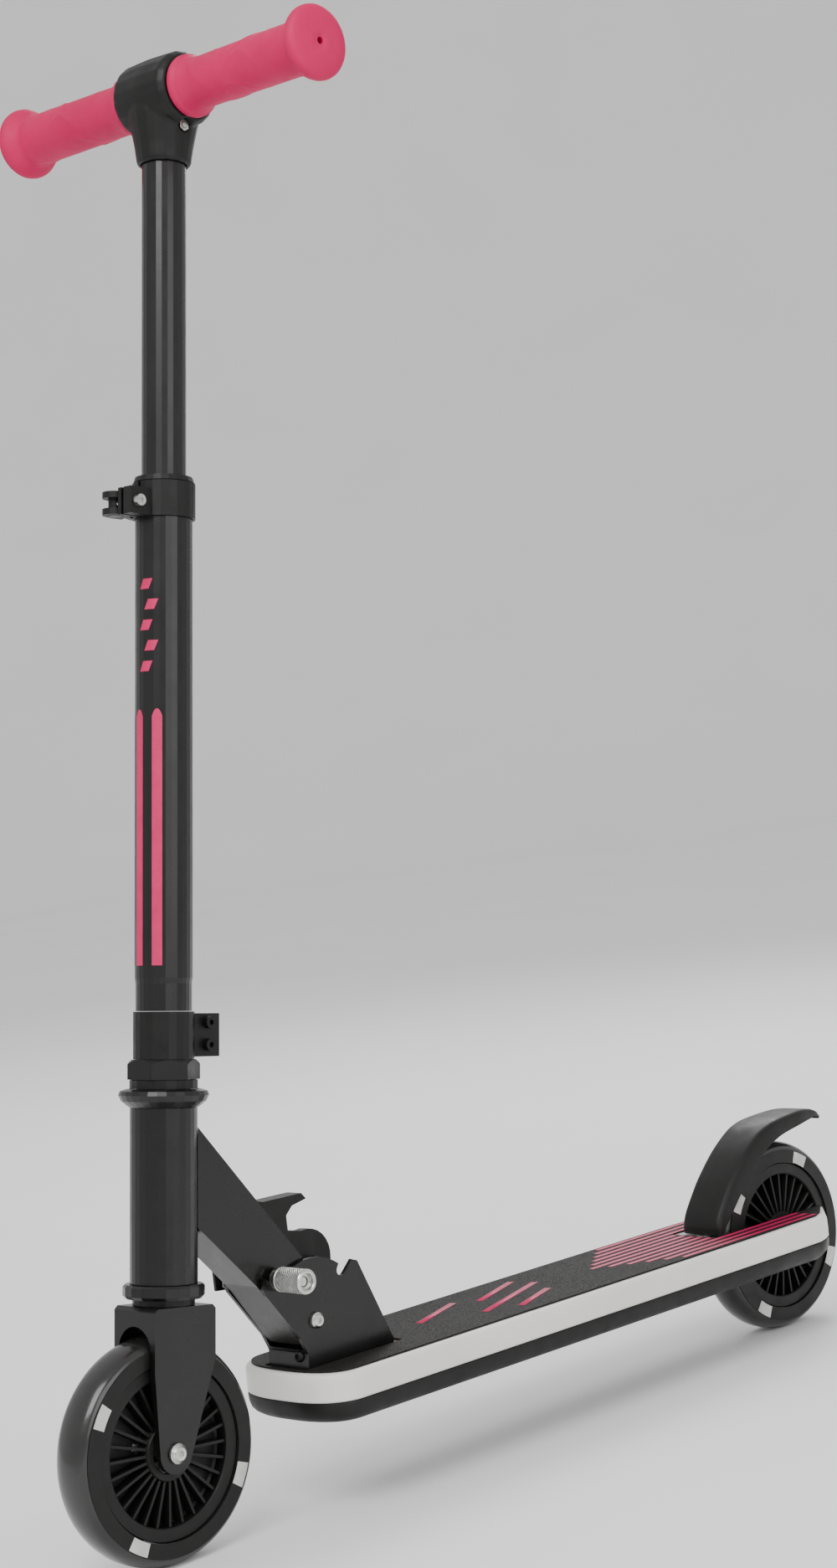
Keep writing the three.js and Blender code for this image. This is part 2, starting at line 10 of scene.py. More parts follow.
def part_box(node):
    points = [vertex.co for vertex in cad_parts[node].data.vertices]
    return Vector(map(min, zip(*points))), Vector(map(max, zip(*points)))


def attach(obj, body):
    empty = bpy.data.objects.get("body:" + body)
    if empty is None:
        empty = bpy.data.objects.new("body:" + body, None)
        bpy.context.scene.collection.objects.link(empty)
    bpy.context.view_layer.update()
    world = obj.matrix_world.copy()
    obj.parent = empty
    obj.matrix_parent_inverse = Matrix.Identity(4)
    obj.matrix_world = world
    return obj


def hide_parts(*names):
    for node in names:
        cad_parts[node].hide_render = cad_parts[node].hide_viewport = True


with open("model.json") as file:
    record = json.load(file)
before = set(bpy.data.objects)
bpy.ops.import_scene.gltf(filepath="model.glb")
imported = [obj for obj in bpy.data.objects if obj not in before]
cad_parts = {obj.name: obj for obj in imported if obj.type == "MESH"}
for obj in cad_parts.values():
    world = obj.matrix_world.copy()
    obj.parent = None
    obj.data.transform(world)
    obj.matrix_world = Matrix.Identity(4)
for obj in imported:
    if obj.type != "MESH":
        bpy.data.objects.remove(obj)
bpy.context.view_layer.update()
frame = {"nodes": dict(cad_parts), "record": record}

MM = 0.001


# ---- places taken from the frame ----
def joint(name):
    return next(j for j in frame["record"]["behaviour"]["joints"] if j["name"] == name)


def middle(node):
    low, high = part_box(node)
    return (Vector(low) + Vector(high)) / 2


steer_axis = Vector(joint("steer")["axis"]).normalized()
steer_foot = Vector(joint("steer")["pos_m"])
rake = math.atan2(-steer_axis.x, steer_axis.z)
front_axle = Vector(joint("front_wheel_spin")["pos_m"])
rear_axle = Vector(joint("rear_wheel_spin")["pos_m"])
deck_pitch = 0.014
column = Matrix.Translation(steer_foot) @ Matrix.Rotation(-rake, 4, "Y")
deck = Matrix.Translation(rear_axle) @ Matrix.Rotation(-deck_pitch, 4, "Y")
BAR_HEIGHT = 723 * MM


# ---- camera, floor and light ----
AZIMUTH = math.radians(135.387)
ELEVATION = math.radians(2.05)
ROLL = math.radians(-6.749)
SIDEWAYS, UPWARD, DISTANCE = -137.069 * MM, -347.825 * MM, 1504.742 * MM
LENS = 66.15


def add_camera():
    back = Vector((math.sin(AZIMUTH) * math.cos(ELEVATION), -math.cos(AZIMUTH) * math.cos(ELEVATION),
                   math.sin(ELEVATION)))
    right = (-back).cross(Vector((0, 0, 1))).normalized()
    up = right.cross(-back).normalized()
    turned_right = right * math.cos(ROLL) + up * math.sin(ROLL)
    turned_up = up * math.cos(ROLL) - right * math.sin(ROLL)
    data = bpy.data.cameras.new("camera")
    data.lens = LENS
    data.sensor_width = 36
    camera = bpy.data.objects.new("camera", data)
    place = front_axle - turned_right * SIDEWAYS - turned_up * UPWARD + back * DISTANCE
    camera.matrix_world = Matrix((
        (turned_right.x, turned_up.x, back.x, place.x),
        (turned_right.y, turned_up.y, back.y, place.y),
        (turned_right.z, turned_up.z, back.z, place.z),
        (0, 0, 0, 1)))
    bpy.context.scene.collection.objects.link(camera)
    bpy.context.scene.camera = camera


def add_light(name, place, power, size, color=(1, 1, 1)):
    data = bpy.data.lights.new(name, "AREA")
    data.energy = power
    data.size = size
    data.color = color
    lamp = bpy.data.objects.new(name, data)
    lamp.location = place
    lamp.rotation_euler = (Vector((0, 0, 0.35)) - Vector(place)).to_track_quat("-Z", "Y").to_euler()
    bpy.context.scene.collection.objects.link(lamp)


# ---- mesh helpers ----
def make_object(name, verts, faces, smooth=True):
    mesh = bpy.data.meshes.new(name)
    mesh.from_pydata([tuple(v) for v in verts], [], faces)
    mesh.validate()
    bm = bmesh.new()
    bm.from_mesh(mesh)
    bmesh.ops.recalc_face_normals(bm, faces=bm.faces)
    bm.to_mesh(mesh)
    bm.free()
    for polygon in mesh.polygons:
        polygon.use_smooth = smooth
    obj = bpy.data.objects.new(name, mesh)
    bpy.context.scene.collection.objects.link(obj)
    return obj


def sharpen(obj, degrees=32):
    limit = math.radians(degrees)
    bm = bmesh.new()
    bm.from_mesh(obj.data)
    for edge in bm.edges:
        edge.smooth = len(edge.link_faces) == 2 and edge.calc_face_angle(0) < limit
    bm.to_mesh(obj.data)
    bm.free()
    for polygon in obj.data.polygons:
        polygon.use_smooth = True


def rings_to_object(name, rings, closed, matrix=None):
    """Rings of equal length joined into a skin; closed joins last to first, else both are capped."""
    matrix = matrix or Matrix.Identity(4)
    count = len(rings[0])
    verts = [matrix @ Vector(p) for ring in rings for p in ring]
    faces = []
    spans = len(rings) if closed else len(rings) - 1
    for i in range(spans):
        a, b = i * count, (i + 1) % len(rings) * count
        for j in range(count):
            k = (j + 1) % count
            faces.append((a + j, a + k, b + k, b + j))
    if not closed:
        faces.append(tuple(range(count)))
        faces.append(tuple(range((len(rings) - 1) * count, len(rings) * count)))
    return make_object(name, verts, faces)


def lathe_y(name, profile, sides, matrix, relief=None):
    """A closed [radius, y] profile in mm turned about Y; relief(y, angle) adds to the outer radius in mm."""
    rings = []
    for r, y in profile:
        ring = []
        for i in range(sides):
            angle = 2 * math.pi * i / sides
            radius = r + (relief(y, angle, r) if relief else 0)
            ring.append((radius * math.cos(angle) * MM, y * MM, radius * math.sin(angle) * MM))
        rings.append(ring)
    return rings_to_object(name, rings, True, matrix)


def finished(obj, body, material, slot, *nodes, angle=32):
    sharpen(obj, angle)
    obj.data.materials.clear()
    obj.data.materials.append(material)
    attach(obj, body)
    if nodes:
        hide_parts(*nodes)
    return obj


# ---- materials ----
class Finish:
    """A principled material with noise-driven roughness, bump and a second colour in patches."""

    def __init__(self, name, color, roughness, metallic=0.0):
        self.material = bpy.data.materials.new(name)
        self.material.use_nodes = True
        self.nodes = self.material.node_tree.nodes
        self.links = self.material.node_tree.links
        self.shader = self.nodes["Principled BSDF"]
        self.shader.inputs["Base Color"].default_value = (*color, 1)
        self.shader.inputs["Roughness"].default_value = roughness
        self.shader.inputs["Metallic"].default_value = metallic
        self.coords = self.nodes.new("ShaderNodeTexCoord").outputs["Object"]
        self.normal = None

    def noise(self, scale, detail=4.0, stretch=None):
        source = self.coords
        if stretch:
            mapping = self.nodes.new("ShaderNodeMapping")
            mapping.inputs["Scale"].default_value = stretch
            self.links.new(source, mapping.inputs["Vector"])
            source = mapping.outputs["Vector"]
        node = self.nodes.new("ShaderNodeTexNoise")
        node.inputs["Scale"].default_value = scale
        node.inputs["Detail"].default_value = detail
        self.links.new(source, node.inputs["Vector"])
        return node.outputs["Fac"]

    def cells(self, scale, output="Distance"):
        node = self.nodes.new("ShaderNodeTexVoronoi")
        node.inputs["Scale"].default_value = scale
        self.links.new(self.coords, node.inputs["Vector"])
        return node.outputs[output]

    def spread(self, value, low, high, start=0.3, stop=0.7):
        node = self.nodes.new("ShaderNodeMapRange")
        node.inputs["From Min"].default_value = start
        node.inputs["From Max"].default_value = stop
        node.inputs["To Min"].default_value = low
        node.inputs["To Max"].default_value = high
        self.links.new(value, node.inputs["Value"])
        return node.outputs["Result"]

    def rough(self, value, low, high):
        self.links.new(self.spread(value, low, high), self.shader.inputs["Roughness"])

    def tint(self, value, dark, light, start=0.3, stop=0.7):
        ramp = self.nodes.new("ShaderNodeValToRGB")
        ramp.color_ramp.elements[0].position = start
        ramp.color_ramp.elements[0].color = (*dark, 1)
        ramp.color_ramp.elements[1].position = stop
        ramp.color_ramp.elements[1].color = (*light, 1)
        self.links.new(value, ramp.inputs["Fac"])
        self.links.new(ramp.outputs["Color"], self.shader.inputs["Base Color"])

    def bump(self, value, distance, strength=0.5):
        node = self.nodes.new("ShaderNodeBump")
        node.inputs["Distance"].default_value = distance
        node.inputs["Strength"].default_value = strength
        self.links.new(value, node.inputs["Height"])
        if self.normal:
            self.links.new(self.normal, node.inputs["Normal"])
        self.normal = node.outputs["Normal"]
        self.links.new(self.normal, self.shader.inputs["Normal"])

    def setting(self, name, value):
        self.shader.inputs[name].default_value = value


def black_paint():
    f = Finish("black_paint", (0.0025, 0.0025, 0.0025), 0.28)
    f.tint(f.noise(14), (0.0018, 0.0018, 0.0018), (0.004, 0.004, 0.0038))
    f.rough(f.noise(60), 0.24, 0.36)
    f.bump(f.noise(420, 2), 0.00005, 0.25)
    f.setting("Specular IOR Level", 0.35)
    f.setting("Coat Weight", 0.15)
    f.setting("Coat Roughness", 0.14)
    return f.material


def black_steel():
    f = Finish("black_steel", (0.005, 0.005, 0.005), 0.42, 0.15)
    f.tint(f.noise(30), (0.003, 0.003, 0.003), (0.008, 0.008, 0.0075))
    f.rough(f.noise(120), 0.34, 0.52)
    f.setting("Specular IOR Level", 0.32)
    f.bump(f.noise(900, 2), 0.00005, 0.4)
    return f.material


def bare_steel():
    f = Finish("bare_steel", (0.6, 0.6, 0.58), 0.28, 1.0)
    f.tint(f.noise(200, 3, (1, 8, 1)), (0.45, 0.45, 0.43), (0.72, 0.72, 0.69))
    f.rough(f.noise(160), 0.2, 0.38)
    f.bump(f.noise(700, 2, (1, 6, 1)), 0.00004, 0.4)
    return f.material


def black_plastic():
    f = Finish("black_plastic", (0.004, 0.004, 0.0038), 0.5)
    f.tint(f.noise(18), (0.0028, 0.0028, 0.0026), (0.0065, 0.0065, 0.006))
    f.rough(f.noise(90), 0.4, 0.56)
    f.setting("Specular IOR Level", 0.3)
    f.bump(f.noise(1500, 2), 0.00008, 0.5)
    return f.material


def pink_rubber():
    f = Finish("pink_rubber", (0.52, 0.0015, 0.075), 0.6)
    f.tint(f.noise(25), (0.47, 0.0012, 0.067), (0.56, 0.002, 0.084))
    f.rough(f.noise(140), 0.55, 0.72)
    f.bump(f.noise(1300, 3), 0.00012, 0.6)
    f.setting("Specular IOR Level", 0.3)
    return f.material


def milky_plastic():
    f = Finish("milky_plastic", (0.74, 0.73, 0.7), 0.35)
    f.tint(f.noise(9), (0.66, 0.65, 0.62), (0.8, 0.79, 0.76))
    f.rough(f.noise(70), 0.3, 0.42)
    f.bump(f.noise(500, 2), 0.00005, 0.3)
    f.setting("Subsurface Weight", 0.35)
    f.setting("Subsurface Radius", (0.004, 0.004, 0.0035))
    f.setting("Subsurface Scale", 1.0)
    return f.material


def grip_tape():
    f = Finish("grip_tape", (0.01, 0.009, 0.009), 0.92)
    f.tint(f.noise(2600, 2), (0.004, 0.0038, 0.0036), (0.05, 0.042, 0.038), 0.5, 0.8)
    f.rough(f.cells(1800, "Distance"), 0.5, 0.95)
    f.setting("Specular IOR Level", 0.25)
    f.bump(f.cells(1500), 0.0003, 0.9)
    return f.material


def smoky_tyre():
    f = Finish("smoky_tyre", (0.012, 0.0115, 0.011), 0.2)
    f.tint(f.noise(40), (0.008, 0.0078, 0.0075), (0.018, 0.0175, 0.017))
    f.rough(f.noise(90), 0.14, 0.28)
    f.bump(f.noise(260, 2), 0.00006, 0.3)
    f.setting("Coat Weight", 0.25)
    f.setting("Coat Roughness", 0.08)
    return f.material


def clear_plastic():
    f = Finish("clear_plastic", (0.5, 0.5, 0.49), 0.22)
    f.tint(f.noise(60), (0.4, 0.4, 0.39), (0.62, 0.62, 0.6))
    f.rough(f.noise(120), 0.15, 0.3)
    f.bump(f.noise(400, 2), 0.00005, 0.3)
    return f.material


def deck_wood():
    f = Finish("deck_wood", (0.12, 0.09, 0.06), 0.7)
    f.tint(f.noise(60, 5, (1, 12, 12)), (0.07, 0.05, 0.035), (0.2, 0.15, 0.1))
    f.rough(f.noise(100), 0.6, 0.8)
    f.bump(f.noise(160, 4, (1, 14, 14)), 0.0002, 0.5)
    return f.material


def pink_print():
    f = Finish("pink_print", (0.54, 0.002, 0.09), 0.42)
    f.tint(f.noise(120), (0.5, 0.0015, 0.08), (0.59, 0.003, 0.1))
    f.rough(f.noise(300), 0.32, 0.5)
    f.bump(f.noise(900, 2), 0.00003, 0.3)
    return f.material


def floor_paper():
    f = Finish("floor_paper", (0.86, 0.86, 0.86), 0.8)
    f.tint(f.noise(3), (0.85, 0.85, 0.85), (0.88, 0.88, 0.88))
    return f.material


# ---- grips: a collar, a body with raised leaf lines and a domed end flange ----
def leaf_relief(y, angle, radius):
    along = abs(y)
    if not 34 < along < 112 or not 12.5 < radius < 15.5:
        return 0
    ridge = 0
    for lane in range(5):
        turn = (angle / (2 * math.pi) * 5 + lane + along / 90) % 5 - 2.5
        wave = 0.55 * math.sin((along - 34) / 78 * 2 * math.pi * 1.5 + lane * 1.3)
        ridge = max(ridge, math.exp(-((turn - wave) / 0.085) ** 2) * (0.5 + 0.5 * math.cos(along / 7 + lane)))
    return 0.55 * ridge


def grip_profile():
    outer = [(16.2, 22), (16.7, 22.4), (17, 23.2), (16.9, 25.4), (16.2, 26.4), (15.6, 26.8), (15.4, 28)]
    outer += [(15.4 - 1.7 * math.sin(t / 8 * math.pi / 2), 28 + t) for t in range(1, 9)]
    outer += [(13.7 + 0.4 * i / 76, 36 + i) for i in range(1, 77)]
    outer += [(14.6, 113.5), (15.4, 114.6), (17.2, 116.2), (18.8, 118), (19.6, 119.8), (19.8, 121.4),
              (19.5, 123), (18.6, 124.4), (17, 125.2), (13, 125.6), (7, 125.78), (2.6, 125.8), (1.9, 125.3)]
    inner = [(1.9, 119), (9.8, 119), (9.8, 22)]
    return outer + inner


def add_grips(material):
    for name, side in (("grip_left", 1), ("grip_right", -1)):
        place = column @ Matrix.Translation((0, 0, BAR_HEIGHT))
        profile = [(r, y * side) for r, y in grip_profile()]
        grip = lathe_y(name + "_skin", profile, 112, place, leaf_relief)
        finished(grip, "handlebar", material, "pink_rubber", name, angle=50)


# ---- T-head: a barrel blended into a tapered neck ----
def add_tee_head(material):
    source = frame["nodes"]["tee_head"]
    tee = bpy.data.objects.new("tee_head_skin", source.data.copy())
    tee.matrix_world = source.matrix_world
    bpy.context.scene.collection.objects.link(tee)
    bpy.context.view_layer.objects.active = tee
    remesh = tee.modifiers.new("remesh", "REMESH")
    remesh.mode = "VOXEL"
    remesh.voxel_size = 0.7 * MM
    smooth = tee.modifiers.new("smooth", "SMOOTH")
    smooth.factor = 0.5
    smooth.iterations = 8
    baked = bpy.data.meshes.new_from_object(tee.evaluated_get(bpy.context.evaluated_depsgraph_get()))
    tee.modifiers.clear()
    tee.data = baked
    finished(tee, "handlebar", material, "black_plastic", "tee_head", angle=45)


# ---- wheels: a rounded tyre over a ribbed core, a dark rim ring and pale inlays on each face ----
def tyre_profile():
    points = [(46.4, -11.6), (50, -12), (53.5, -11.9)]
    for i in range(13):
        angle = -math.pi / 2 + math.pi * i / 12
        points.append((53.5 + 6.5 * math.cos(angle) ** 0.9 if abs(math.cos(angle)) > 1e-9 else 53.5,
                       11.9 * math.sin(angle)))
    return points + [(50, 12), (46.4, 11.6)]


RIB_COUNT = 28
RIB_HALF_WIDTH = 0.75
WINDOW_ANGLES = (35, 118, 208, 303)
WINDOW_HALF_ANGLE = 7
TAB_RADII = (16.6, 19.4)
TAB_FIRST_ANGLE = 20
TAB_HALF_ANGLE = 6


def rim_ring(name, from_radius, to_radius, y, matrix, start=0, stop=360, thickness=0.25):
    """A thin flat ring, or part of one, lying against the wheel's face; angles in degrees, lengths in mm."""
    steps = max(8, int((stop - start) / 3))
    rings = []
    for i in range(steps + 1):
        angle = math.radians(start + (stop - start) * i / steps)
        ring = []
        for radius, depth in ((from_radius, y), (to_radius, y), (to_radius, y + thickness),
                              (from_radius, y + thickness)):
            ring.append((radius * math.cos(angle) * MM, depth * MM, radius * math.sin(angle) * MM))
        rings.append(ring)
    whole = stop - start == 360
    return rings_to_object(name, rings[:-1] if whole else rings, whole, matrix)


def add_rim(name, body, axle, rim_material, window_material, tab_material):
    place = Matrix.Translation(axle)
    for side, label in ((1, "left"), (-1, "right")):
        face = 12.05 if side > 0 else -12.3
        ring = rim_ring(f"{name}_rim_{label}", 46.5, 54.6, face - 0.02 * side, place)
        finished(ring, body, rim_material, "black_plastic")
        for i, angle in enumerate(WINDOW_ANGLES):
            window = rim_ring(f"{name}_window_{label}_{i + 1}", 46.8, 54, face + 0.06 * side, place,
                              angle - WINDOW_HALF_ANGLE, angle + WINDOW_HALF_ANGLE)
            finished(window, body, window_material, "smoky_tyre")
        for i in range(4):
            angle = 90 * i + TAB_FIRST_ANGLE
            tab = rim_ring(f"{name}_tab_{label}_{i + 1}", *TAB_RADII, 3.5 * side - 0.1, place,
                           angle - TAB_HALF_ANGLE, angle + TAB_HALF_ANGLE)
            finished(tab, body, tab_material, "bare_steel")


def add_wheel(name, body, axle, tyre_material, core_material):
    place = Matrix.Translation(axle)
    tyre = lathe_y(name + "_tyre_skin", tyre_profile(), 128, place)
    finished(tyre, body, tyre_material, "smoky_tyre", name + "_tyre", angle=50)
    half_profile = [(11.3, 11.5), (14.6, 11.5), (15, 11), (15.6, 4.2), (17, 3.2), (37, 3.2), (38.4, 4.2),
                    (39, 10.4), (39.6, 11), (45.6, 11), (46, 10.4)]
    profile = [(radius, -y) for radius, y in half_profile] + half_profile[::-1]
    core = lathe_y(name + "_core_skin", profile, 192, place)
    finished(core, body, core_material, "black_plastic", name + "_core", angle=35)
    verts, faces = [], []
    for i in range(RIB_COUNT):
        angle = 2 * math.pi * (i + 0.5) / RIB_COUNT
        along = Vector((math.cos(angle), 0, math.sin(angle)))
        across = Vector((-math.sin(angle), 0, math.cos(angle)))
        for side in (-1, 1):
            base = len(verts)
            for radius, depth in ((15.2, 10.6), (38.8, 9.6)):
                for offset in (-RIB_HALF_WIDTH, RIB_HALF_WIDTH):
                    for y in (3.0, depth):
                        corner = along * radius + across * offset + Vector((0, side * y, 0))
                        verts.append(place @ (corner * MM))
            faces += [tuple(base + k for k in quad) for quad in
                      ((0, 1, 3, 2), (4, 6, 7, 5), (0, 4, 5, 1), (2, 3, 7, 6), (0, 2, 6, 4), (1, 5, 7, 3))]
    finished(make_object(name + "_ribs", verts, faces), body, core_material, "black_plastic")


# ---- deck: base, milky band, and the pink lines printed on the rear of the grip tape ----
NOSE = 26
HALF_WIDTH = 42.7
FRONT = 430.5


def deck_outline(inset, steps=28):
    half = HALF_WIDTH - inset
    slot = 16.3 + inset
    side = []
    for i in range(steps + 1):
        angle = math.pi / 2 * i / steps
        side.append((FRONT - NOSE + (NOSE - inset) * math.cos(angle) ** 0.8 if i < steps else FRONT - NOSE,
                     half * math.sin(angle) ** 0.8))
    side += [(60, half), (0, half - 0.6), (-8 + inset, half - 3), (-16 + inset, half - 7)]
    side += [(-35 + inset * 2, slot + 2), (-35 + inset * 2, slot), (20, slot), (70.3 + inset, slot)]
    return side + [(x, -y) for x, y in reversed(side[1:])]


def at_height(outline, height):
    return [(x * MM, y * MM, height * MM) for x, y in outline]


def add_deck(base_material, band_material):
    base_levels = [(-3.3, 0.3), (-4.2, 0), (-8, 0.3), (-11, 1.2), (-13, 2.8), (-14.4, 5), (-14.85, 7.5)]
    rings = [at_height(deck_outline(inset), height) for height, inset in base_levels]
    finished(rings_to_object("deck_base_skin", rings, False, deck), "deck", base_material, "black_plastic",
             "deck_base", angle=40)
    band_levels = [(-3, 5), (-3, 0.6), (-2.4, 0.05), (1, 0), (6, 0), (9.4, 0.1), (11, 0.5), (12.1, 1.4),
                   (12.6, 2.8), (12.6, 5)]
    rings = [at_height(deck_outline(inset), height) for height, inset in band_levels]
    finished(rings_to_object("side_band_skin", rings, True, deck), "deck", band_material, "milky_plastic",
             "side_band", angle=40)


def flat_strip(name, path, width, height, matrix, thickness=0.12):
    """A thin printed strip along a path of (x, y) points in mm, lying at a height in mm."""
    verts, faces = [], []
    for i, (x, y) in enumerate(path):
        before = path[max(i - 1, 0)]
        after = path[min(i + 1, len(path) - 1)]
        run = Vector((after[0] - before[0], after[1] - before[1])).normalized()
        normal = Vector((-run.y, run.x)) * width / 2
        for sx, sz in ((1, 0), (1, 1), (-1, 1), (-1, 0)):
            verts.append(matrix @ Vector(((x + sx * normal.x) * MM, (y + sx * normal.y) * MM,
                                          (height + sz * thickness) * MM)))
    for i in range(len(path) - 1):
        for k in range(4):
            faces.append((4 * i + k, 4 * i + (k + 1) % 4, 4 * i + 4 + (k + 1) % 4, 4 * i + 4 + k))
    faces += [(0, 1, 2, 3), tuple(4 * (len(path) - 1) + k for k in (3, 2, 1, 0))]
    return make_object(name, verts, faces, smooth=False)


TAPE_TOP = 13.82
PRINT_THICKNESS = 0.1
LANE_COUNT = 11
LANE_PITCH = 7.1
LANE_WIDTH = 3.2
LANE_FRONT = 172
LANE_END_BY_SLOT = 76
LANE_END_ON_ARM = -4
DECK_STROKE_WIDTH = 4.4
DECK_STROKES = (
    ((216, -26), (262, -8)),
    ((212, -10), (282, 16)),
    ((222, 10), (262, 26)),
    ((272, -20), (318, -2)),
)


def add_tape_lines(material):
    for i in range(LANE_COUNT):
        lane = i - (LANE_COUNT - 1) / 2
        y = lane * LANE_PITCH
        start = LANE_FRONT - abs(lane) * 9
        end = LANE_END_BY_SLOT if abs(y) < 19 else LANE_END_ON_ARM
        path = [(start, y), (start - 30, y), (end, y)]
        line = flat_strip(f"tape_line_{i + 1}", path, LANE_WIDTH, TAPE_TOP, deck, PRINT_THICKNESS)
        finished(line, "deck", material, "pink_rubber")
    for i, path in enumerate(DECK_STROKES):
        stroke = flat_strip(f"deck_stroke_{i + 1}", path, DECK_STROKE_WIDTH, TAPE_TOP, deck, PRINT_THICKNESS)
        finished(stroke, "deck", material, "pink_rubber")


# ---- stripes and strokes printed on the lower tube ----
def tube_patch(name, center, half_width, low, high, rounded_top=True, slant=0.0, radius=15.4):
    """A thin shell on the lower tube: center and half_width are angles in degrees, heights in mm."""
    verts, faces = [], []
    rows, columns = 24, 8
    for i in range(rows + 1):
        height = low + (high - low) * i / rows
        for j in range(columns + 1):
            t = 2 * j / columns - 1
            top = high - (abs(t) ** 2.2) * 4 if rounded_top else high
            h = min(height, top)
            angle = math.radians(center + t * half_width + slant * (h - low))
            for r in (radius - 0.05, radius + 0.09):
                verts.append(column @ Vector((r * math.cos(angle) * MM, r * math.sin(angle) * MM, h * MM)))
    stride = (columns + 1) * 2
    for i in range(rows):
        for j in range(columns):
            a = i * stride + j * 2
            b = a + stride
            faces += [(a + 1, a + 3, b + 3, b + 1), (a, b, b + 2, a + 2)]
        for j in (0, columns):
            a = i * stride + j * 2
            faces.append((a, a + 1, a + stride + 1, a + stride))
    for base in (0, rows * stride):
        for j in range(columns):
            a = base + 2 * j
            faces.append((a, a + 1, a + 3, a + 2))
    return make_object(name, verts, faces)


STRIPE_ANGLES = (37, -6, -49)
STRIPE_HALF_WIDTH = 10.5
STRIPE_LOW = 252.5
STRIPE_HIGH = 388
STROKE_LOW = 408
STROKE_PITCH = 11
STROKE_HEIGHT = 5.5


def add_tube_prints(material):
    for i, center in enumerate(STRIPE_ANGLES):
        stripe = tube_patch(f"tube_stripe_{i + 1}", center, STRIPE_HALF_WIDTH, STRIPE_LOW, STRIPE_HIGH)
        finished(stripe, "steering", material, "pink_rubber")
    for i in range(5):
        low = STROKE_LOW + i * STROKE_PITCH
        high = low + STROKE_HEIGHT
        patch = tube_patch(f"tube_stroke_{i + 1}", 8 + (i % 2) * 12, 11, low, high, False, 1.6)
        finished(patch, "steering", material, "pink_rubber")


# ---- rear fender: a pressed shell with rounded shoulders ----
def smooth_path(points, steps):
    path = []
    for i in range(len(points) - 1):
        p0, p1 = Vector(points[max(i - 1, 0)]), Vector(points[i])
        p2, p3 = Vector(points[i + 1]), Vector(points[min(i + 2, len(points) - 1)])
        for k in range(steps):
            t = k / steps
            path.append(0.5 * (2 * p1 + (p2 - p0) * t + (2 * p0 - 5 * p1 + 4 * p2 - p3) * t * t
                               + (3 * p1 - p0 - 3 * p2 + p3) * t ** 3))
    return path + [Vector(points[-1])]


FENDER_HALF = 15.5


def fender_skirt(share):
    """The depth of the side skirt in mm, from the base (share 0) to the tail (share 1)."""
    if share < 0.9:
        return 4 + 8.5 * math.sin(math.pi * min(share / 0.9, 1)) ** 0.8
    return 4 - 28 * (share - 0.9)


def fender_half_width(share):
    if share < 0.6:
        return FENDER_HALF
    return FENDER_HALF - 8.5 * ((share - 0.6) / 0.4) ** 1.7


def add_fender(material):
    spine = smooth_path([(67.4, 13.4), (67.3, 19), (64, 26.5), (56, 37), (48, 46), (33, 59.3), (17, 69.4),
                         (6, 73.4), (-6, 75.2), (-27, 76.2), (-40, 75), (-50, 72.4), (-56.6, 68.8)], 5)
    rings = []
    total = len(spine) - 1
    for i, point in enumerate(spine):
        run = (spine[min(i + 1, total)] - spine[max(i - 1, 0)]).normalized()
        inward = Vector((run.y, -run.x)) * -1
        share = i / total
        skirt = fender_skirt(share)
        half = fender_half_width(share)
        section = [(-half, skirt), (-half, 3.4), (-half + 0.5, 1.7), (-half + 1.6, 0.5), (-half + 3.6, 0)]
        section += [(-4, -0.35), (4, -0.35)] + [(-y, d) for y, d in reversed(section)]
        inner = []
        for y, depth in reversed(section):
            sheet = 2.0 if depth < 1 else 1.2 if depth < 3 else 0
            inner.append((y * (half - 1.9) / half, depth + sheet))
        ring = []
        for y, depth in section + inner:
            place = point + inward * max(depth, 0)
            ring.append((place.x * MM, y * MM, place.y * MM))
        rings.append(ring)
    finished(rings_to_object("rear_fender_skin", rings, False, deck), "fender", material, "black_plastic",
             "rear_fender", angle=50)


# ---- knurled nut ----
def add_knurled_nut(material):
    center = middle("knurled_nut")
    place = Matrix.Translation((center.x, 0, center.z))

    def knurl(y, angle, radius):
        if radius < 6 or not 20.9 < y < 39.6:
            return 0
        first = abs(math.sin(angle * 14 + y * 1.9))
        second = abs(math.sin(angle * 14 - y * 1.9))
        return -0.5 * (1 - min(first, second))

    outer = [(6.2, 20), (6.7, 20.6)] + [(6.8, 20.8 + 18.9 * i / 90) for i in range(91)]
    outer += [(6.5, 40.1), (6.1, 40.5), (4.9, 40.5), (4.5, 40.1), (4.4, 37.6), (2.9, 37.4), (2.9, 20)]
    finished(lathe_y("knurled_nut_skin", outer, 168, place, knurl), "lock_rod", material, "bare_steel",
             "knurled_nut", angle=60)


# ---- button screw on the front wall of the fold bracket ----
SCREW_PLACE = (419.4, 9.0, 19.8)
SCREW_SIDES = 40


def add_bracket_screw(material):
    profile = [(3.3, 0), (3.3, 1.1), (3.0, 1.9), (2.4, 2.5), (1.7, 2.8), (1.5, 2.7), (1.4, 1.5), (0.3, 1.4)]
    rings = []
    for radius, out in profile:
        ring = []
        for i in range(SCREW_SIDES):
            angle = 2 * math.pi * i / SCREW_SIDES
            ring.append(((SCREW_PLACE[0] + out) * MM, (SCREW_PLACE[1] + radius * math.cos(angle)) * MM,
                         (SCREW_PLACE[2] + radius * math.sin(angle)) * MM))
        rings.append(ring)
    screw = rings_to_object("bracket_screw", rings, False, deck)
    finished(screw, "deck", material, "black_steel")


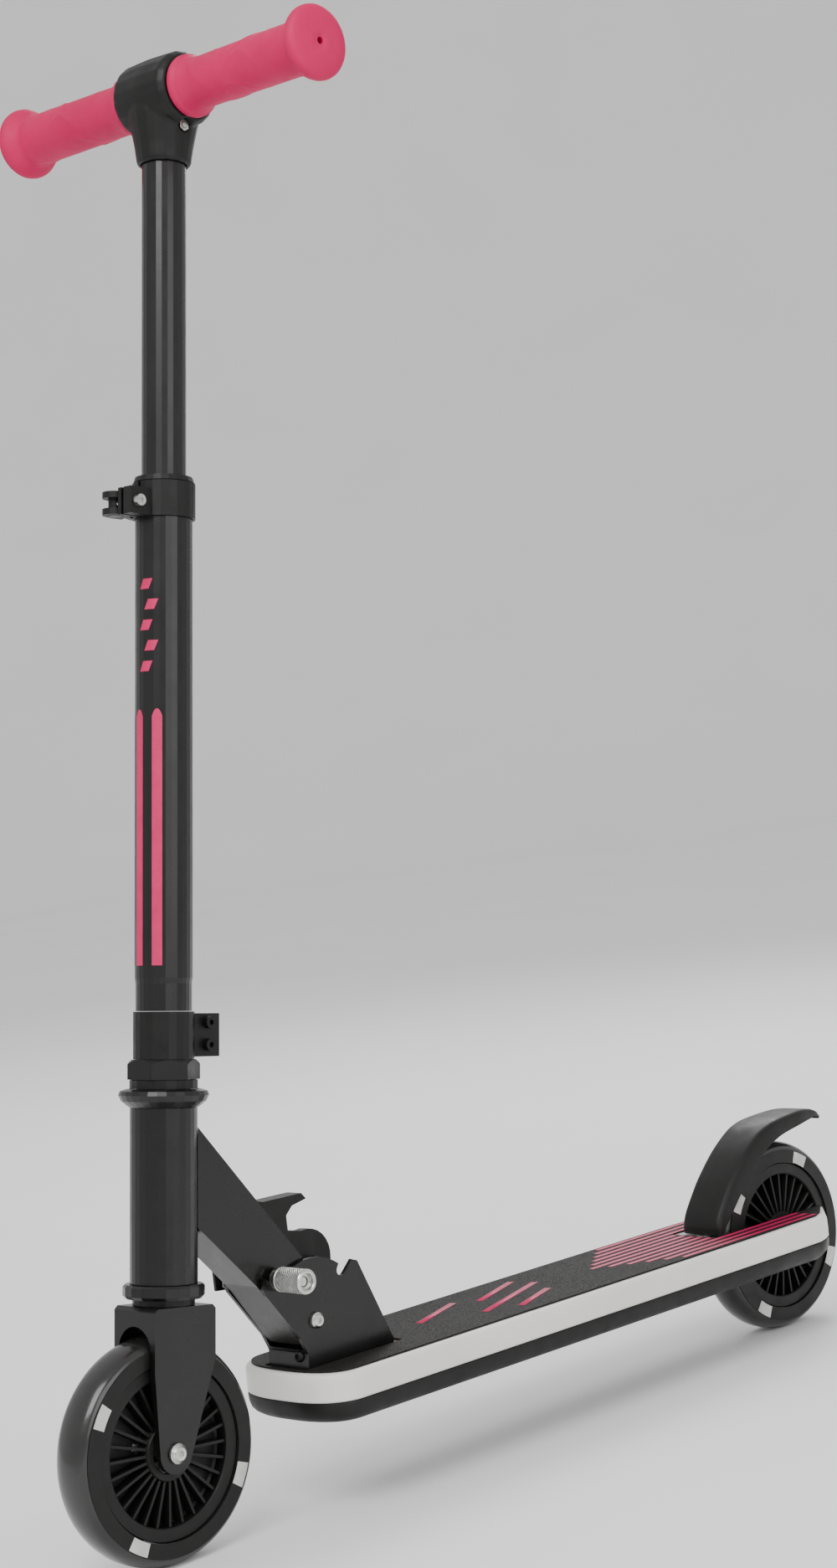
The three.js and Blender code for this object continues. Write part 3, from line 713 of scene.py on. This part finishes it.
# ---- materials and soft edges on the frame's own pieces ----
def dress_frame(materials):
    slots = {s["node"]: s["material_slot"] for s in frame["record"]["subparts"]}
    for name, obj in frame["nodes"].items():
        material = materials[slots[name]]
        if not obj.material_slots:
            obj.data.materials.append(material)
        for entry in obj.material_slots:
            entry.material = material
        low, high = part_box(name)
        width = 0.35 * MM if min(Vector(high) - Vector(low)) > 6 * MM else 0.12 * MM
        bevel = obj.modifiers.new("soft_edges", "BEVEL")
        bevel.width = width
        bevel.segments = 2
        bevel.limit_method = "ANGLE"
        bevel.angle_limit = math.radians(40)
        for polygon in obj.data.polygons:
            polygon.use_smooth = True
        split = obj.modifiers.new("crisp", "EDGE_SPLIT")
        split.split_angle = math.radians(34)


# ---- floor: a flat sheet that curves up into a wall behind the scooter ----
WALL_DISTANCE = 5.0
WALL_CURVE = 2.0
WALL_TOP = 7.0
SHEET_HALF = 12.0


def add_floor():
    away = Vector((-math.sin(AZIMUTH), math.cos(AZIMUTH), 0))
    across = Vector((math.cos(AZIMUTH), math.sin(AZIMUTH), 0))
    section = [(-SHEET_HALF, 0), (0, 0)]
    for i in range(13):
        angle = math.pi / 2 * i / 12
        section.append((WALL_DISTANCE + WALL_CURVE * math.sin(angle), WALL_CURVE * (1 - math.cos(angle))))
    section.append((WALL_DISTANCE + WALL_CURVE, WALL_TOP))
    verts = []
    for reach, height in section:
        for side in (-SHEET_HALF, SHEET_HALF):
            verts.append(away * reach + across * side + Vector((0, 0, height)))
    faces = [(2 * i, 2 * i + 1, 2 * i + 3, 2 * i + 2) for i in range(len(section) - 1)]
    floor = make_object("floor", verts, faces)
    floor.data.materials.append(floor_paper())


def main():
    materials = {
        "black_paint": black_paint(), "black_steel": black_steel(), "bare_steel": bare_steel(),
        "black_plastic": black_plastic(), "milky_plastic": milky_plastic(), "pink_rubber": pink_rubber(),
        "smoky_tyre": smoky_tyre(), "grip_tape": grip_tape(), "deck_wood": deck_wood(),
    }
    add_camera()
    dress_frame(materials)
    add_grips(materials["pink_rubber"])
    add_tee_head(materials["black_plastic"])
    pale = clear_plastic()
    for name, axle in (("front_wheel", front_axle), ("rear_wheel", rear_axle)):
        add_wheel(name, name, axle, materials["smoky_tyre"], materials["black_plastic"])
        add_rim(name, name, axle, materials["black_plastic"], pale, materials["bare_steel"])
    add_deck(materials["black_plastic"], materials["milky_plastic"])
    printed = pink_print()
    add_tape_lines(printed)
    add_tube_prints(printed)
    add_fender(materials["black_plastic"])
    add_knurled_nut(materials["bare_steel"])
    add_bracket_screw(materials["black_steel"])

    add_floor()
    add_light("key", (1.5, 0.7, 1.9), 34, 1.2)
    add_light("fill", (0.3, 2.0, 1.0), 14, 1.4)
    add_light("rim", (-1.4, -0.9, 1.5), 22, 1.0)
    world = bpy.data.worlds.new("studio")
    world.use_nodes = True
    world.node_tree.nodes["Background"].inputs["Color"].default_value = (1, 1, 1, 1)
    world.node_tree.nodes["Background"].inputs["Strength"].default_value = 0.85
    bpy.context.scene.world = world


main()
